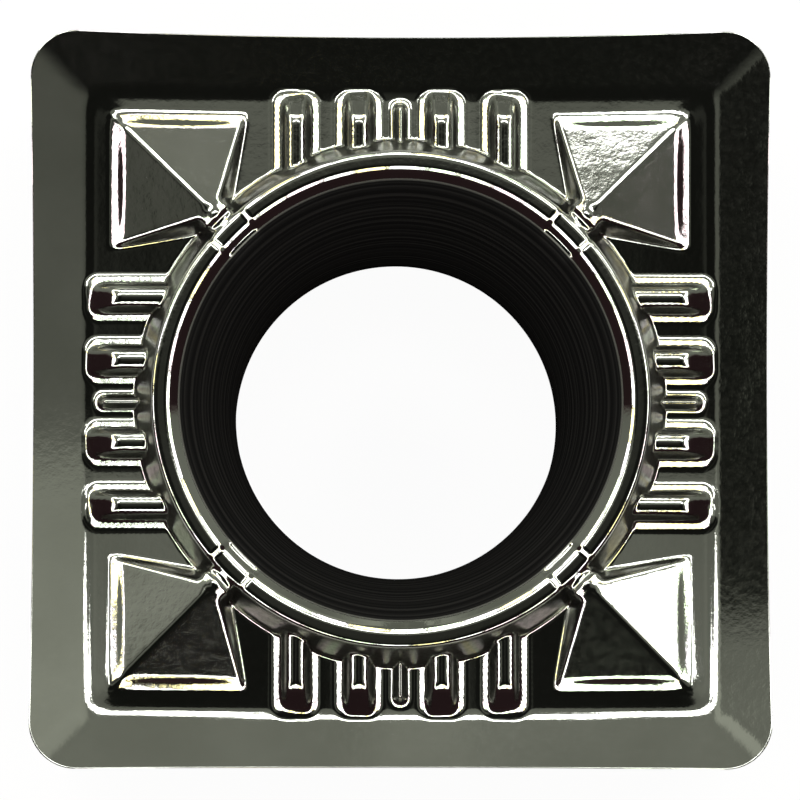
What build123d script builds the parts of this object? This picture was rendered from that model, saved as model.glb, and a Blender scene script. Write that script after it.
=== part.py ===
from build123d import *
import os
from math import asin, degrees, radians, sqrt, tan

os.makedirs("parts", exist_ok=True)

# A square positive indexable insert, pressed and sintered in one piece.
# Origin: centre of the seat face, on the axis of the screw hole. +Z points out of the rake face.
# Lengths are in millimetres and angles in degrees.

# Body
inscribed_circle = 12.70      # across the flats, measured at the cutting corners
thickness = 4.76              # seat face to cutting corner
nose_radius = 0.80            # corner radius at the cutting corner
clearance_angle = 7.0         # relief of the flanks below the cutting edges
edge_dip = 0.43               # how far each cutting edge sags between its two noses
seat_break = 0.06             # broken edge round the seat face

# Screw hole
bore_diameter = 5.60
bore_height = 1.00            # cylindrical part, up from the seat face
bore_break = 0.12             # chamfer where the bore leaves the seat face
mouth_diameter = 7.90         # countersink at the top of the ring
mouth_bevel = 0.15            # 45 degree bevel round the mouth

# Rake face and chip groove
rake_angle = 18.0             # fall of the rake face, inwards from the cutting edge
rake_width = 1.00             # cutting edge to groove floor
groove_blend = 0.80           # radius between rake face and groove floor

# Ring round the hole, with a low step outside it
ring_rise = 0.04              # ring above the cutting corners
ring_width = 0.30             # flat land on top of the ring
ring_edge = 0.07              # rounded edges of the land
ring_wall_angle = 70.0        # slope of the ring's outer wall
step_width = 0.06             # flat annulus at the foot of the ring
step_height = 0.20            # step above the groove floor
step_wall_angle = 60.0

# Chip-breaking ribs, four along each side
centre_rib_spacing = 1.42     # between the two ribs next to the middle of a side
rib_pitch = 1.08              # from each of those to the outer rib beside it
rib_height = 0.42             # crest above the groove floor
rib_crest_width = 0.26
rib_flank_angle = 56.0        # slope of the two long flanks
rib_ramp_length = 0.50        # from the outer tip in to the crest
rib_edge = 0.06               # rounded crest edges

# Corner pyramids
pyramid_floor = 0.42          # groove floor left between rake face and pyramid
pyramid_height = 0.74         # apex above the groove floor at the middle of a side
pyramid_half_gap = 2.68       # axis of symmetry to the side of the pyramid's foot
pyramid_setback = 0.03        # apex outside the step, along the diagonal
pyramid_back = 0.34           # apex to the inner corner of the foot, along the diagonal
pyramid_crown = 0.24          # blunt top, measured along the diagonal
pyramid_edge = 0.05           # rounded ridge on the diagonal

# Raised features run this far down into the body, so that they join it all round
root_depth = 0.30

# Sizes that follow from the ones above
half = inscribed_circle / 2
corner_centre = half - nose_radius
edge_low = thickness - edge_dip
floor_low = edge_low - rake_width * tan(radians(rake_angle))
ring_top = thickness + ring_rise
body_top = ring_top + root_depth
dip_radius = (corner_centre**2 + edge_dip**2) / (2 * edge_dip)
floor_radius = dip_radius + edge_low - floor_low
bore_radius = bore_diameter / 2
mouth_radius = mouth_diameter / 2
ring_radius = mouth_radius + ring_width
step_top = floor_low + step_height
ring_foot_radius = ring_radius + (ring_top - step_top) / tan(radians(ring_wall_angle))
step_radius = ring_foot_radius + step_width
rib_tip = half - rake_width


def flank_body():
    """Square frustum with conical noses, from the seat face to above the highest feature."""
    shrink = thickness * tan(radians(clearance_angle))
    side = 2 * (half - shrink)
    seat_outline = RectangleRounded(side, side, nose_radius - shrink)
    body = extrude(seat_outline, body_top, taper=-clearance_angle)
    return chamfer(body.faces().sort_by(Axis.Z)[0].edges(), seat_break)


def groove_height(across):
    """Height of the groove floor at a distance across from the middle of its side."""
    return floor_low + floor_radius - sqrt(floor_radius**2 - across**2)


def groove_cutter():
    """Rake face and chip groove of one side, turned about a far axis so that the edge dips."""
    fall = tan(radians(rake_angle))
    overrun = nose_radius
    rake_out = (half + overrun, edge_low + overrun * fall)
    rake_in = (rib_tip, floor_low)
    section = make_face(Plane.YZ * Polyline(
        (0, body_top), (0, floor_low), rake_in, rake_out, (half + overrun, body_top), close=True
    ))
    blend_corner = section.vertices().sort_by_distance((0, rib_tip, floor_low))[0]
    section = fillet(blend_corner, groove_blend)
    turn_axis = Axis((0, 0, edge_low + dip_radius), (0, 1, 0))
    swing = degrees(asin((half + overrun) / (dip_radius - root_depth)))
    cutter = revolve(section, turn_axis, 2 * swing).rotate(turn_axis, -swing)
    reach = 2 * half
    quadrant = extrude(Polygon((0, 0), (reach, reach), (-reach, reach), align=None), 2 * body_top)
    return cutter & quadrant


def ring_and_step():
    """Turned ring with rounded edges, standing on a low step; the hole is cut later."""
    foot = floor_low - root_depth
    step_foot_radius = step_radius + (step_top - foot) / tan(radians(step_wall_angle))
    profile = Plane.XZ * Polyline(
        (0, foot), (step_foot_radius, foot), (step_radius, step_top),
        (ring_foot_radius, step_top), (ring_radius, ring_top), (0, ring_top), close=True
    )
    ring = revolve(make_face(profile), Axis.Z)
    return fillet(ring.edges().filter_by(GeomType.CIRCLE).sort_by(Axis.Z)[-1], ring_edge)


def rib(offset):
    """Drafted ridge across the groove, ramped down to the floor at its outer end."""
    flank = tan(radians(rib_flank_angle))
    ramp_top = rib_tip - rib_ramp_length
    ramp = rib_height / rib_ramp_length
    crest = rib_crest_width / 2
    foot = crest + (rib_height + root_depth) / flank
    root = sqrt(step_radius**2 - (abs(offset) + foot)**2) - root_depth
    section = Plane.XZ * Polygon(
        (-foot, -root_depth), (foot, -root_depth), (crest, rib_height), (-crest, rib_height), align=None
    )
    ridge = Pos(0, root, 0) * extrude(section, root - half)
    over_ramp = Plane.YZ * Polygon(
        (ramp_top, rib_height), (half, (rib_tip - half) * ramp),
        (half, 2 * rib_height), (ramp_top, 2 * rib_height), align=None
    )
    ridge -= extrude(over_ramp, 2 * foot, both=True)
    lengthwise = ridge.edges().filter_by(lambda e: abs(e.tangent_at(0.5).Y) > 0.5)
    crest_edges = lengthwise.filter_by(lambda e: e.center().Z > -root_depth / 2)
    return Pos(offset, 0, floor_low) * fillet(crest_edges, rib_edge)


def pyramid():
    """Four-sided pyramid in the corner of the groove, its ridge along the diagonal."""
    outer = rib_tip - pyramid_floor
    apex = (step_radius + pyramid_setback) / sqrt(2)
    inner = apex - pyramid_back / sqrt(2)
    apex_point = Vector(apex, apex, floor_low + pyramid_height)
    side_height = groove_height(pyramid_half_gap)
    outer_height = groove_height(outer)
    tilt = (outer_height - side_height) / ((outer - pyramid_half_gap) / 2)
    inner_height = outer_height - tilt * (outer - inner)
    kite = [
        Vector(outer, outer, outer_height),
        Vector(outer, pyramid_half_gap, side_height),
        Vector(inner, inner, inner_height),
        Vector(pyramid_half_gap, outer, side_height),
    ]
    below = 1 + root_depth / pyramid_height
    blunt = pyramid_crown / (sqrt(2) * (outer - inner))
    foot_wire = Wire.make_polygon([apex_point + (p - apex_point) * below for p in kite])
    crown_wire = Wire.make_polygon([apex_point + (p - apex_point) * blunt for p in kite])
    solid = Solid.make_loft([foot_wire, crown_wire], ruled=True)
    diagonal_ridge = solid.edges().sort_by(Axis((0, 0, 0), (1, 1, 0)))[-1]
    return fillet(diagonal_ridge, pyramid_edge)


def screw_hole():
    """Bore, trumpet-shaped seat for a tapered screw head, and a bevel at the mouth."""
    seat_top = ring_top - mouth_bevel
    rise = seat_top - bore_height
    flare = mouth_radius - mouth_bevel - bore_radius
    seat_radius = (flare**2 + rise**2) / (2 * flare)
    top = ring_top + root_depth
    wall = Line((0, 0), (bore_radius + bore_break, 0))
    wall += Line((bore_radius + bore_break, 0), (bore_radius, bore_break))
    wall += Line((bore_radius, bore_break), (bore_radius, bore_height))
    wall += RadiusArc((bore_radius, bore_height), (bore_radius + flare, seat_top), seat_radius)
    wall += Line((bore_radius + flare, seat_top), (mouth_radius, ring_top))
    wall += Line((mouth_radius, ring_top), (mouth_radius, top))
    wall += Line((mouth_radius, top), (0, top))
    wall += Line((0, top), (0, 0))
    return revolve(make_face(Plane.XZ * wall), Axis.Z)


insert_body = flank_body()
groove_side = groove_cutter()
for turn in range(4):
    insert_body -= groove_side.rotate(Axis.Z, 90 * turn)

near_rib = centre_rib_spacing / 2
far_rib = near_rib + rib_pitch
side_features = [rib(offset) for offset in (-far_rib, -near_rib, near_rib, far_rib)]
side_features.append(pyramid())
raised = [ring_and_step()]
for turn in range(4):
    raised += [feature.rotate(Axis.Z, 90 * turn) for feature in side_features]
insert_body += raised
insert_body -= screw_hole()
export_step(insert_body, "parts/insert_body.step")
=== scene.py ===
from math import asin, cos, pi, radians, sin, sqrt, tan

import bmesh
import bpy
import numpy as np
from mathutils import Matrix, Vector


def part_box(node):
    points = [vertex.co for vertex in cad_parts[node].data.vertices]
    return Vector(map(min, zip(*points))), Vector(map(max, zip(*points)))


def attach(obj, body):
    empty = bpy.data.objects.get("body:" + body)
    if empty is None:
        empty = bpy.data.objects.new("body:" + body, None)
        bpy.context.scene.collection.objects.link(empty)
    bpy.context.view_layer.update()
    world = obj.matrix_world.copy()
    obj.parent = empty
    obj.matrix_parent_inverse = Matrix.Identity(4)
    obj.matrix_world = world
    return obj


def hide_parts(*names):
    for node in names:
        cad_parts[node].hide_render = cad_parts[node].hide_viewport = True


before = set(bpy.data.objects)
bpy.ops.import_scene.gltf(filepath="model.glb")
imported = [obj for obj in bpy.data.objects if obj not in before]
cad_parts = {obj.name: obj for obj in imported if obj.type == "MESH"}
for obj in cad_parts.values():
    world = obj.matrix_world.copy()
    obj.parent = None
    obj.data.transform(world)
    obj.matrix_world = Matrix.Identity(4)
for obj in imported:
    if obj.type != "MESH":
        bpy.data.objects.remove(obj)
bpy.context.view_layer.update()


# ---- Insert blank --------------------------------------------------------------------------------
# The insert is pressed from tungsten carbide powder and sintered, in one piece. The blank is a
# section spun round the screw hole: bore, seat for the screw head, land, top, flank and seat face.

millimetre = 0.001
low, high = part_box("insert_body")
half = round((high.x - low.x) / 2 / millimetre, 2)     # centre to cutting edge, at the noses
ring_top = (high.z - low.z) / millimetre               # seat face to the land round the hole
bevel = tan(radians(23.5))                             # slope of the small bevels on every form

bore_radius = 2.80
bore_height = 1.00
bore_break = 0.12
mouth_radius = 3.95
mouth_bevel = 0.15
mouth_ease = 0.08                                      # small bevel from the mouth to the land
ring_radius = mouth_radius + 0.30                      # outer edge of the land
ring_ease = 0.06                                       # small bevel on the land's outer edge
fine_band = 0.36                                       # closer stations outside the land
edge_hone = 0.008                                      # left on the cutting edge
seat_break = 0.06                                      # broken edge round the seat face
columns = 820                                          # steps of the spin round the hole


def stations(*stops):
    """Points on straight lines between stops: each a radius, a height and the steps to the next."""
    line = []
    for (radius, height, count), (next_radius, next_height, _) in zip(stops, stops[1:]):
        out, up = next_radius - radius, next_height - height
        line += [(radius + out * i / count, height + up * i / count) for i in range(count)]
    return line


def seat_arc(count):
    """Curved seat for the screw head, from the bore up to the bevel at the mouth."""
    flare = mouth_radius - mouth_bevel - bore_radius
    rise = ring_top - mouth_bevel - bore_height
    radius = (flare**2 + rise**2) / (2 * flare)
    turns = [asin(rise / radius) * i / count for i in range(count)]
    return [(bore_radius + radius * (1 - cos(a)), bore_height + radius * sin(a)) for a in turns]


section = stations(
    (bore_radius + bore_break, 0, 2),
    (bore_radius, bore_break, 2),
    (bore_radius, bore_height, 0),
)
section += seat_arc(10)
section += stations(
    (mouth_radius - mouth_bevel, ring_top - mouth_bevel, 4),
    (mouth_radius, ring_top - mouth_ease * bevel, 3),
    (mouth_radius + mouth_ease, ring_top, 4),
    (ring_radius - ring_ease, ring_top, 16),
    (ring_radius + fine_band, ring_top, 60),
    (half - 3 * edge_hone, ring_top, 2),
    (half - edge_hone, ring_top, 3),
    (half, ring_top - edge_hone, 2),
    (half, ring_top - 3 * edge_hone, 4),
    (half, 3 * seat_break, 2),
    (half, seat_break, 3),
    (half - seat_break, 0, 4),
    (bore_radius + bore_break, 0, 0),
)

bm = bmesh.new()
rim = [bm.verts.new((radius, 0, height)) for radius, height in section]
profile = [bm.edges.new(pair) for pair in zip(rim, rim[1:] + rim[:1])]
bmesh.ops.spin(
    bm, geom=rim + profile, cent=(0, 0, 0), axis=(0, 0, 1),
    angle=2 * pi, steps=columns, use_merge=True,
)
bmesh.ops.remove_doubles(bm, verts=bm.verts, dist=1e-5)


# ---- Rake face and flanks ------------------------------------------------------------------------
# The top punch presses the rake face. Each cutting edge dips between its noses, the rake falls
# inwards to a groove, four ribs cross the groove, and a pyramid stands in each corner. The die
# gives the flanks their 7 degree relief and the four noses their radius.

ring_rise = 0.04                                       # land above the cutting noses
thickness = ring_top - ring_rise
nose_radius = 0.80
nose_centre = half - nose_radius
relief = tan(radians(7))

edge_dip = 0.43                                        # sag of each edge between its noses
edge_low = thickness - edge_dip
dip_radius = (nose_centre**2 + edge_dip**2) / (2 * edge_dip)
rake_fall = tan(radians(18))
rake_width = 1.00
rake_foot = half - rake_width
floor_low = edge_low - rake_width * rake_fall          # groove floor at the middle of a side
floor_rise = tan(radians(1.2))                         # the floor rises a little to the ring
groove_blend = 0.045                                   # height over which rake and floor blend
mitre_blend = 0.36                                     # rounded valley where two rakes meet

foot_bevel = 0.19                                      # bevels at the foot and crest of each rib
crest_bevel = 0.13

ring_foot = 4.56                                       # foot of the ring's wall
notch_angle = radians(4.2)                             # half width of the notches in the land
notch_ramp = 0.028                                     # angle over which a notch runs out
notch_depth = 0.05

rib_tip = 5.44                                         # outer end of the foot, from the axis
rib_offsets = (0.71, 1.79)
rib_height = 0.43
rib_half = 0.42                                        # half width over the foot
rib_corner = 0.26                                      # rounded outer corners of the foot
rib_crest = 0.05                                       # half width of the flat crest
rib_end = 4.84                                         # outer end of the crest, from the axis
rib_slope = tan(radians(38))                           # from the end of the crest to the tip
steep_wall = tan(radians(80))                          # drafted flanks of the pressed forms

middle_half = 0.20                                     # small ridge at the middle of each side
middle_setback = 0.16
middle_height = 0.26
middle_bevel = 0.13

pyramid_floor = 0.42                                   # groove floor outside the pyramid
pyramid_outer = rake_foot - pyramid_floor
pyramid_side = 2.68                                    # sides of the foot, from the side's middle
pyramid_height = 0.74
apex_radius = 4.49                                     # apex from the axis
pyramid_apex = apex_radius / sqrt(2)
pyramid_back = 0.34                                    # apex to the inner corner of the foot
pyramid_inner = pyramid_apex - pyramid_back / sqrt(2)
pyramid_blunt = 0.045                                  # height lost at the blunt apex
pyramid_bevel = 0.20
pyramid_rim = 0.06                                     # bevelled foot outside the facets
pyramid_lift = 0.042                                   # facets above the plain pyramid
pip_radius = 0.05                                      # small pip on the apex
pip_reach = 0.30
pip_rise = 0.036

rounding = 0.04                                        # rounded edges of the whole pressed face
beneath = -1.0                                         # any height below the groove


def groove_side(across, out):
    """Height of one side's rake and groove, at a place across the side and out from the centre."""
    rake = edge_low - (half - out) * rake_fall
    bottom = floor_low + np.maximum(rake_foot - out, 0) * floor_rise
    near = np.maximum(groove_blend - np.abs(rake - bottom), 0)
    fall = np.maximum(rake, bottom) + near**2 / (4 * groove_blend)
    radius = dip_radius + edge_low - fall
    return edge_low + dip_radius - np.sqrt(radius**2 - across**2)


def groove(x, y):
    """Rake and groove of the whole face; two sides meet in a rounded mitre on the diagonal."""
    side_x, side_y = groove_side(y, x), groove_side(x, y)
    apart = y - x
    blended = (apart**2 + mitre_blend**2) / (2 * mitre_blend)
    soft = np.where(np.abs(apart) < mitre_blend, blended, np.abs(apart))
    return (side_y + side_x) / 2 + (side_y - side_x) / apart * soft / 2


def foot_rise(inside, width):
    """Rise of a form above the groove, inwards from its foot: a bevel, then a steep wall."""
    rises = [-2, 0, width * bevel, width * bevel + steep_wall]
    return np.interp(inside, [-1, 0, width, width + 1], rises)


def crest_drop(beyond, wall):
    """Drop of a form outwards from its flat crest: a bevel, then a wall."""
    drops = [0, crest_bevel * bevel, crest_bevel * bevel + wall]
    return np.interp(beyond, [0, crest_bevel, crest_bevel + 1], drops)


def inside_rounded(across, out, half_width, end, corner):
    """Distance in from a strip's outline: straight sides, and a rounded outer end."""
    side, tip = np.abs(across) - half_width + corner, out - end + corner
    beyond = np.hypot(np.maximum(side, 0), np.maximum(tip, 0))
    return corner - beyond - np.minimum(np.maximum(side, tip), 0)


def facet(x, y, a, b, c):
    """Height over x and y of the plane through three points."""
    normal = np.cross(np.subtract(b, a), np.subtract(c, a))
    return a[2] - (normal[0] * (x - a[0]) + normal[1] * (y - a[1])) / normal[2]


def pyramid(x, y, ground):
    """Corner pyramid: two broad outer facets, two steep inner ones, a bevelled foot and a pip."""
    side_height = groove_side(np.float64(pyramid_side), np.float64(pyramid_outer))
    outer_height = groove_side(np.float64(pyramid_outer), np.float64(pyramid_outer))
    tilt = 2 * (outer_height - side_height) / (pyramid_outer - pyramid_side)
    inner_height = outer_height - tilt * (pyramid_outer - pyramid_inner)
    apex = (pyramid_apex, pyramid_apex, floor_low + pyramid_height)
    corner = (pyramid_outer, pyramid_outer, outer_height)
    inner = (pyramid_inner, pyramid_inner, inner_height)
    side_x = (pyramid_outer, pyramid_side, side_height)
    side_y = (pyramid_side, pyramid_outer, side_height)
    facets = [
        facet(x, y, apex, side_x, corner),
        facet(x, y, apex, corner, side_y),
        facet(x, y, apex, side_y, inner),
        facet(x, y, apex, inner, side_x),
    ]
    blunt_top = apex[2] - pyramid_blunt
    top = np.minimum(np.minimum.reduce(facets), blunt_top)
    from_apex = np.hypot(x - apex[0], y - apex[1])
    pip = blunt_top + pip_rise - np.maximum(from_apex - pip_radius, 0) * bevel
    top = np.maximum(top, np.where(from_apex < pip_reach, pip, beneath))
    inside = pyramid_outer + pyramid_rim - np.maximum(x, y)
    return np.minimum(top + pyramid_lift, ground + foot_rise(inside, pyramid_bevel))


def ribs(across, out, ground):
    """The ribs of one side: narrow crests, steep flanks, and a slope down at the rounded end."""
    end = crest_drop(out - rib_end, rib_slope)
    height = np.full_like(out, beneath)
    for offset in rib_offsets:
        flank = crest_drop(np.abs(across - offset) - rib_crest, steep_wall)
        top = floor_low + rib_height - (flank**3 + end**3) ** (1 / 3)
        inside = inside_rounded(across - offset, out, rib_half, rib_tip, rib_corner)
        level_out = np.sign(across - offset) * across / dip_radius
        foot = ground + np.clip(inside, 0, foot_bevel) * (bevel + level_out)
        height = np.maximum(height, np.where(inside > 0, np.maximum(foot, top), beneath))
    inside = inside_rounded(across, out, middle_half, rib_tip - middle_setback, middle_half)
    middle = np.minimum(ground + foot_rise(inside, middle_bevel), floor_low + middle_height)
    return np.maximum(height, middle)


def pressed(x, y):
    """Height of the punch's sharp form over the rake face, the same in all eight sectors."""
    x, y = np.abs(x) + 1e-5, np.abs(y)                 # keeps x and y apart on the diagonal
    ring = np.interp(
        np.hypot(x, y),
        [ring_radius - ring_ease / 2, ring_radius + ring_ease / 2, ring_foot, ring_foot + 0.1],
        [ring_top, ring_top - ring_ease * bevel, floor_low, beneath],
    )
    ground = groove(x, y)
    forms = [ring, pyramid(x, y, ground), ribs(x, y, ground), ribs(y, x, ground)]
    return np.maximum.reduce([ground] + forms)


def softened(x, y):
    """Mean of the pressed form over two small circles, which rounds every edge."""
    total, weight = pressed(x, y), 1.0
    for share, taps, pull in ((0.5, 8, 0.8), (1.0, 12, 0.45)):
        for tap in range(taps):
            angle = 2 * pi * (tap + share) / taps
            reach = rounding * share
            total = total + pull * pressed(x + reach * cos(angle), y + reach * sin(angle))
            weight += pull
    return total / weight


def outline(angle, z):
    """Distance from the axis to the flanks and noses, in each direction, at height z."""
    in_by = (thickness - z) * relief
    side, nose = half - in_by, nose_radius - in_by
    long_part, short_part = np.abs(np.cos(angle)), np.abs(np.sin(angle))
    long_part, short_part = np.maximum(long_part, short_part), np.minimum(long_part, short_part)
    flat = side / long_part
    along = nose_centre * (long_part + short_part)
    corner = along + np.sqrt(np.maximum(along**2 - 2 * nose_centre**2 + nose**2, 0))
    return np.where(side * short_part / long_part <= nose_centre, flat, corner)


points = np.array([v.co for v in bm.verts])
angle = np.arctan2(points[:, 1], points[:, 0])
radius = np.hypot(points[:, 0], points[:, 1])
height = points[:, 2]
close = 1e-4

# the cutting edge lies where the leaning flank meets the dipping rake, found in a few rounds
edge_z = np.full_like(angle, edge_low)
for _ in range(4):
    reach = outline(angle, edge_z)
    edge_z = softened(reach * np.cos(angle), reach * np.sin(angle))
edge_reach = outline(angle, edge_z)

land = ring_radius - ring_ease - 0.001                 # stations beyond this are squared off
on_top = (height > ring_top - edge_hone - close) & (radius > land)
squared = land + (edge_reach - land) * (radius - land) / (half - land)
face_z = softened(squared * np.cos(angle), squared * np.sin(angle)) - (ring_top - height)

on_flank = (radius > half - seat_break - close) & ~on_top
flank_z = np.where(height > seat_break, height * edge_z / ring_top, height)
flank_reach = outline(angle, flank_z) - (half - radius)

seat_inner, seat_outer = bore_radius + bore_break, half - seat_break
on_seat = (height < close) & (radius < seat_outer - close) & (radius > seat_inner - close)
seat_share = (radius - seat_inner) / (seat_outer - seat_inner)
seat_reach = seat_inner + (outline(angle, 0.0) - seat_break - seat_inner) * seat_share

in_land = (radius > mouth_radius - mouth_bevel) & (radius < ring_radius + ring_ease)
in_land &= height > ring_top - mouth_bevel + close
from_diagonal = np.abs((np.abs(angle) % (pi / 2)) - pi / 4)
notch = np.interp(from_diagonal, [notch_angle, notch_angle + notch_ramp], [notch_depth, 0])

radius = np.select([on_top, on_flank, on_seat], [squared, flank_reach, seat_reach], radius)
height = np.select([on_top, on_flank], [face_z, flank_z], height) - np.where(in_land, notch, 0)
for vert, r, a, z in zip(bm.verts, radius, angle, height):
    vert.co = Vector((r * cos(a), r * sin(a), z)) * millimetre

bmesh.ops.recalc_face_normals(bm, faces=bm.faces)
for face in bm.faces:
    face.smooth = True
skin_mesh = bpy.data.meshes.new("insert_skin")
bm.to_mesh(skin_mesh)
bm.free()
insert = bpy.data.objects.new("insert_skin", skin_mesh)
bpy.context.scene.collection.objects.link(insert)


# ---- Coating -------------------------------------------------------------------------------------
# A dark, hard, vapour-deposited coating a few thousandths thick. The rake face is smooth and light,
# steep walls and flanks are rougher and painted darker, a painted shade, and the seat for the screw
# is painted nearly black and not metallic, a painted shade.

coat_shades = ((0.375, 0.385, 0.345, 1), (0.43, 0.44, 0.40, 1))
# darker colour for steep walls and flanks, chosen by how the surface faces: a painted shade
steep_painted_shade = ((0.075, 0.075, 0.069, 1), (0.12, 0.12, 0.11, 1))
# seat for the screw painted nearly black, with faint rings of tone: a painted shade
seat_painted_dark = ((0.006, 0.006, 0.006, 1), (0.018, 0.0175, 0.017, 1))
dimple_depth = 0.0000011
wave_depth = 0.000006

coat = bpy.data.materials.new("coating")
coat.use_nodes = True
nodes, links = coat.node_tree.nodes, coat.node_tree.links
shader = nodes["Principled BSDF"]
shader.inputs["Specular IOR Level"].default_value = 0.0
place = nodes.new("ShaderNodeTexCoord")


def noise(scale, detail, roughness=0.5):
    """A cloud of noise fixed to the object, scale in features per millimetre."""
    cloud = nodes.new("ShaderNodeTexNoise")
    cloud.inputs["Scale"].default_value = scale / millimetre
    cloud.inputs["Detail"].default_value = detail
    cloud.inputs["Roughness"].default_value = roughness
    links.new(place.outputs["Object"], cloud.inputs["Vector"])
    return cloud.outputs["Fac"]


def remap(value, from_low, from_high, to_low, to_high):
    """Stretch of a value from one range to another, clamped."""
    node = nodes.new("ShaderNodeMapRange")
    links.new(value, node.inputs["Value"])
    node.inputs["From Min"].default_value = from_low
    node.inputs["From Max"].default_value = from_high
    node.inputs["To Min"].default_value = to_low
    node.inputs["To Max"].default_value = to_high
    return node.outputs["Result"]


def blend(factor, first, second, kind="RGBA"):
    """Mix of two colours or two levels, each a plain one or another node's output."""
    node = nodes.new("ShaderNodeMix")
    node.data_type = kind
    links.new(factor, node.inputs["Factor"])
    at_first, at_second, at_result = {"FLOAT": (2, 3, 0), "RGBA": (6, 7, 2)}[kind]
    for socket, value in ((node.inputs[at_first], first), (node.inputs[at_second], second)):
        if isinstance(value, bpy.types.NodeSocket):
            links.new(value, socket)
        else:
            socket.default_value = value
    return node.outputs[at_result]


def relief_map(depth, cloud, under=None):
    """Bumps of a given depth from a cloud of noise, on top of finer bumps."""
    node = nodes.new("ShaderNodeBump")
    node.inputs["Distance"].default_value = depth
    links.new(cloud, node.inputs["Height"])
    if under:
        links.new(under, node.inputs["Normal"])
    return node.outputs["Normal"]


at = nodes.new("ShaderNodeSeparateXYZ")
links.new(place.outputs["Object"], at.inputs["Vector"])
level_place = nodes.new("ShaderNodeCombineXYZ")
links.new(at.outputs["X"], level_place.inputs["X"])
links.new(at.outputs["Y"], level_place.inputs["Y"])
from_axis = nodes.new("ShaderNodeVectorMath")
from_axis.operation = "LENGTH"
links.new(level_place.outputs["Vector"], from_axis.inputs[0])
# inside the seat's edge the surface is not metallic and takes the nearly black painted shade
seat_edge = (mouth_radius - mouth_bevel) * millimetre
edge_blur = 0.02 * millimetre
beyond_seat = remap(from_axis.outputs["Value"], seat_edge - edge_blur, seat_edge + edge_blur, 0, 1)

facing = nodes.new("ShaderNodeSeparateXYZ")
links.new(place.outputs["Normal"], facing.inputs["Vector"])
# steep faces get a rougher finish and the darker painted shade
steep = remap(facing.outputs["Z"], 0.55, 0.75, 1, 0)

turning_marks = nodes.new("ShaderNodeTexNoise")
turning_marks.noise_dimensions = "1D"
turning_marks.inputs["Scale"].default_value = 10 / millimetre
turning_marks.inputs["Detail"].default_value = 2
links.new(at.outputs["Z"], turning_marks.inputs["W"])

coat_colour = blend(remap(noise(0.45, 3), 0.35, 0.65, 0, 1), *coat_shades)
# painted shade on steep walls and flanks, with random tone
steep_shade_colour = blend(remap(noise(16.0, 4, 0.65), 0.35, 0.65, 0, 1), *steep_painted_shade)
# painted shade on the seat for the screw, in faint rings
seat_shade_colour = blend(remap(turning_marks.outputs["Fac"], 0.45, 0.75, 0, 1), *seat_painted_dark)
colour = blend(beyond_seat, seat_shade_colour, blend(steep, coat_colour, steep_shade_colour))
links.new(colour, shader.inputs["Base Color"])
links.new(beyond_seat, shader.inputs["Metallic"])

grain = noise(9.0, 4, 0.6)
bright_rough = remap(grain, 0.3, 0.7, 0.045, 0.08)
dull_rough = remap(grain, 0.3, 0.7, 0.28, 0.42)
coat_rough = blend(steep, bright_rough, dull_rough, "FLOAT")
links.new(blend(beyond_seat, 0.55, coat_rough, "FLOAT"), shader.inputs["Roughness"])

dimples = relief_map(dimple_depth, noise(9.0, 3, 0.6))
links.new(relief_map(wave_depth, noise(0.8, 2), dimples), shader.inputs["Normal"])
insert.data.materials.append(coat)

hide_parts("insert_body")
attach(insert, "root")


# ---- Floor ---------------------------------------------------------------------------------------
# A round sheet of white paper that the insert lies on. It glows almost fully white to the eye and
# in reflections, and still takes the insert's shadow.

floor_radius = 1.0
floor_gap = 0.00002                                    # below the seat face
paper_colour = (0.85, 0.85, 0.85, 1)
paper_glow = 0.95                                      # share of plain white in what is seen

bm = bmesh.new()
bmesh.ops.create_circle(bm, cap_ends=True, segments=64, radius=floor_radius)
bmesh.ops.translate(bm, verts=bm.verts, vec=(0, 0, -floor_gap))
floor_mesh = bpy.data.meshes.new("floor")
bm.to_mesh(floor_mesh)
bm.free()
floor = bpy.data.objects.new("floor", floor_mesh)
bpy.context.scene.collection.objects.link(floor)

paper = bpy.data.materials.new("paper")
paper.use_nodes = True
nodes, links = paper.node_tree.nodes, paper.node_tree.links
shader = nodes["Principled BSDF"]
shader.inputs["Base Color"].default_value = paper_colour
shader.inputs["Roughness"].default_value = 0.9
path = nodes.new("ShaderNodeLightPath")
seen = path.outputs["Is Camera Ray"]
for ray in ("Is Glossy Ray", "Is Transmission Ray"):
    either = nodes.new("ShaderNodeMath")
    either.operation = "MAXIMUM"
    links.new(seen, either.inputs[0])
    links.new(path.outputs[ray], either.inputs[1])
    seen = either.outputs[0]
white = nodes.new("ShaderNodeEmission")
links.new(seen, white.inputs["Strength"])
paper_mix = nodes.new("ShaderNodeMixShader")
paper_mix.inputs["Fac"].default_value = paper_glow
links.new(shader.outputs[0], paper_mix.inputs[1])
links.new(white.outputs[0], paper_mix.inputs[2])
links.new(paper_mix.outputs[0], nodes["Material Output"].inputs["Surface"])
floor.data.materials.append(paper)


# ---- Room ----------------------------------------------------------------------------------------
# The room that the bright coating mirrors: a grey back wall, side walls in dark and grey bands, a
# dark front, and a faint red glow low down. Angles are in degrees east and north of the zenith.

lean_back = radians(5.8)                               # axis of the lamp ring, to the north

world = bpy.data.worlds.new("room")
bpy.context.scene.world = world
world.use_nodes = True
nodes, links = world.node_tree.nodes, world.node_tree.links
direction = nodes.new("ShaderNodeTexCoord").outputs["Generated"]
parts = nodes.new("ShaderNodeSeparateXYZ")
links.new(direction, parts.inputs["Vector"])


def steps(value, stops):
    """Level that follows a value through a list of (degrees, level) stops, from -90 to 90."""
    curve = nodes.new("ShaderNodeValToRGB")
    links.new(value, curve.inputs["Fac"])
    elements = curve.color_ramp.elements
    while len(elements) < len(stops):
        elements.new(0.5)
    for element, (degrees, level) in zip(elements, stops):
        element.position = (degrees + 90) / 180
        element.color = (level, level, level, 1)
    return curve.outputs["Color"]


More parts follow.
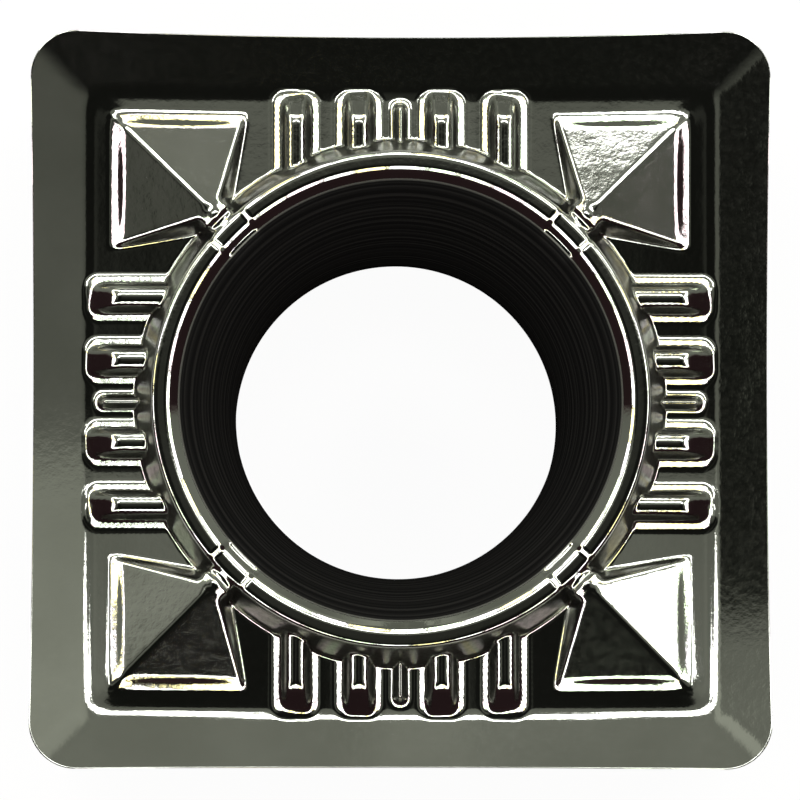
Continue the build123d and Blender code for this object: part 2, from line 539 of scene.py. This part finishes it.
def arithmetic(operation, *values):
    """One sum on up to three values, each a number or a node's output."""
    node = nodes.new("ShaderNodeMath")
    node.operation = operation
    for socket, value in zip(node.inputs, values):
        if isinstance(value, bpy.types.NodeSocket):
            links.new(value, socket)
        else:
            socket.default_value = value
    return node.outputs[0]


def as_share(turn):
    """An angle in radians as a share of the half turn that steps() reads."""
    return arithmetic("MULTIPLY_ADD", turn, 1 / pi, 0.5)


east = as_share(arithmetic("ARCTAN2", parts.outputs["X"], parts.outputs["Z"]))
north = as_share(arithmetic("ARCSINE", parts.outputs["Y"]))
along_axis = nodes.new("ShaderNodeVectorMath")
along_axis.operation = "DOT_PRODUCT"
links.new(direction, along_axis.inputs[0])
along_axis.inputs[1].default_value = (0, sin(lean_back), cos(lean_back))
outwards = as_share(arithmetic("ARCCOSINE", along_axis.outputs["Value"]))

back_wall = steps(north, [
    (-90, 0.012), (-8, 0.018), (4, 0.03), (9, 0.20), (30, 0.27), (48, 0.30), (60, 0.22), (89, 0.20),
])
side_walls = steps(east, [
    (-89, 0.02), (-60, 0.03), (-46, 0.12), (-41, 0.15), (-36, 0.15), (-35, 0.012), (-32, 0.012),
    (-31.5, 0.22), (-26, 0.20), (-23, 0.012), (-4, 0.014), (-1, 0.05), (2, 0.05), (5, 0.014),
    (24, 0.012), (27, 0.15), (34, 0.19), (42, 0.16), (60, 0.03), (89, 0.02),
])
side_lift = steps(north, [(-20, 0.55), (-8, 0.75), (6, 1.0), (20, 1.5)])
dark_front = steps(north, [(-22, 0.0), (-9, 1.0)])
west_card = steps(east, [(-40, 0.0), (-37, 0.04), (-30, 0.04), (-27, 0.0)])
to_back = steps(arithmetic("SUBTRACT", north, west_card), [(7.2, 0.0), (9.2, 1.0)])
low_walls = steps(outwards, [(50, 0.012), (56, 0.045), (80, 0.03)])
low_down = steps(outwards, [(50, 0.0), (56, 1.0)])

sides = arithmetic("MULTIPLY", arithmetic("MULTIPLY", side_walls, side_lift), dark_front)
walls = arithmetic("ADD", sides, arithmetic("MULTIPLY", back_wall, to_back))
room_level = arithmetic("MAXIMUM", walls, low_walls)
redness = arithmetic("MULTIPLY", low_down, arithmetic("SUBTRACT", 1.0, to_back))
hue = blend(redness, (1.0, 1.03, 0.90, 1), (1.0, 0.55, 0.62, 1))
tinted = nodes.new("ShaderNodeMix")
tinted.data_type = "RGBA"
tinted.blend_type = "MULTIPLY"
tinted.inputs["Factor"].default_value = 1.0
links.new(room_level, tinted.inputs[6])
links.new(hue, tinted.inputs[7])
links.new(tinted.outputs[2], nodes["Background"].inputs["Color"])


# ---- Lamps ---------------------------------------------------------------------------------------
# A wide ring of small lamps overhead draws the thin white lines on every bevel. A strip with arcs
# at its ends draws the foot of the south rake, two lamps draw the ridges of the north pyramids, and
# two more each fill one facet of an east pyramid.

lamps_away = 0.5
ring_lamps = 40
ring_angle = radians(47.4)                             # ring of lamps, from its own axis
ring_breadth = radians(10)
ring_fill = 0.80                                       # share of the ring that glows
ring_radiance = 8
strip_radiance = 9
lamp_tints = (
    (1, 1, 1), (1, 0.88, 0.45), (0.93, 0.85, 1), (0.85, 1, 0.75), (1, 1, 0.85), (1, 0.8, 0.9),
)


def hang_lamp(name, spot, turned, size, radiance, tint=(1, 1, 1)):
    """Rectangular lamp at a spot, turned to face the insert."""
    data = bpy.data.lights.new(name, "AREA")
    data.shape = "RECTANGLE"
    data.size, data.size_y = size
    data.energy = radiance * pi * data.size * data.size_y
    data.color = tint
    lamp = bpy.data.objects.new(name, data)
    lamp.location = spot
    lamp.rotation_euler = turned.to_euler()
    bpy.context.scene.collection.objects.link(lamp)


def strip_lamp(name, east, north, *size):
    """Lamp east and north of the zenith, and as wide and long, as the degrees given."""
    way = Vector((tan(radians(east)), tan(radians(north)), 1)).normalized()
    size = [2 * lamps_away * tan(radians(degrees / 2)) for degrees in size]
    hang_lamp(name, way * lamps_away, way.to_track_quat("Z", "Y"), size, strip_radiance)


lean = Matrix.Rotation(-lean_back, 3, "X")
lamp_size = (
    2 * pi * sin(ring_angle) * lamps_away / ring_lamps * ring_fill,
    lamps_away * ring_breadth,
)
for i in range(ring_lamps):
    turn = 2 * pi * i / ring_lamps
    way = lean @ Vector((
        sin(ring_angle) * sin(turn), sin(ring_angle) * cos(turn), cos(ring_angle),
    ))
    side = (lean @ Vector((cos(turn), -sin(turn), 0))).normalized()
    turned = Matrix((side, way.cross(side), way)).transposed()
    tint = lamp_tints[0] if i % 5 == 0 else lamp_tints[i * 7 % len(lamp_tints)]
    hang_lamp(f"ring_lamp_{i}", way * lamps_away, turned, lamp_size, ring_radiance, tint)

strip_lamp("strip_middle", 0, 29.5, 15, 9)
strip_lamp("back_lamp", -12, 45.9, 3, 3)
for side in (-1, 1):
    strip_lamp(f"strip_{side}", side * 11.5, 26, 8, 7)
    strip_lamp(f"arc_{side}", side * 18, 21.5, 6, 6)
    strip_lamp(f"arc_end_{side}", side * 23.5, 17, 6, 5)
    strip_lamp(f"ridge_lamp_{side}", side * 11.5, 20, 6, 5)

spot_place = Vector((0.045, 0.012, 0.050))
lit_facet = Vector((0.004, -0.0035, 0.0044))           # east facet of the south-east pyramid
spot_turn = (spot_place - lit_facet).to_track_quat("Z", "Y")
hang_lamp("side_spot", spot_place, spot_turn, (0.008, 0.008), strip_radiance)


# ---- Camera --------------------------------------------------------------------------------------
# A long lens looks almost straight down at the land round the hole, a little from the south and
# from the west.

camera_distance = 0.200
view_width = 0.01369                                   # width of the view at the land's height
picture_width = 800
sensor_width = 36
camera_south = radians(5.8)
camera_west = radians(1.1)
shift = (-0.9, -1.4)                                   # aim beside the axis, in pixels

camera_data = bpy.data.cameras.new("camera")
camera_data.sensor_width = sensor_width
camera_data.lens = sensor_width * camera_distance / view_width
camera_data.clip_start = 0.001
camera = bpy.data.objects.new("camera", camera_data)
bpy.context.scene.collection.objects.link(camera)
pixel = view_width / picture_width
target = Vector((shift[0] * pixel, shift[1] * pixel, ring_top * millimetre))
back = Vector((-sin(camera_west), -sin(camera_south), 1)).normalized()
right = Vector((0, 1, 0)).cross(back).normalized()
camera.location = target + back * camera_distance
camera.rotation_euler = Matrix((right, back.cross(right), back)).transposed().to_euler()
bpy.context.scene.camera = camera
bpy.context.scene.view_settings.view_transform = "Standard"
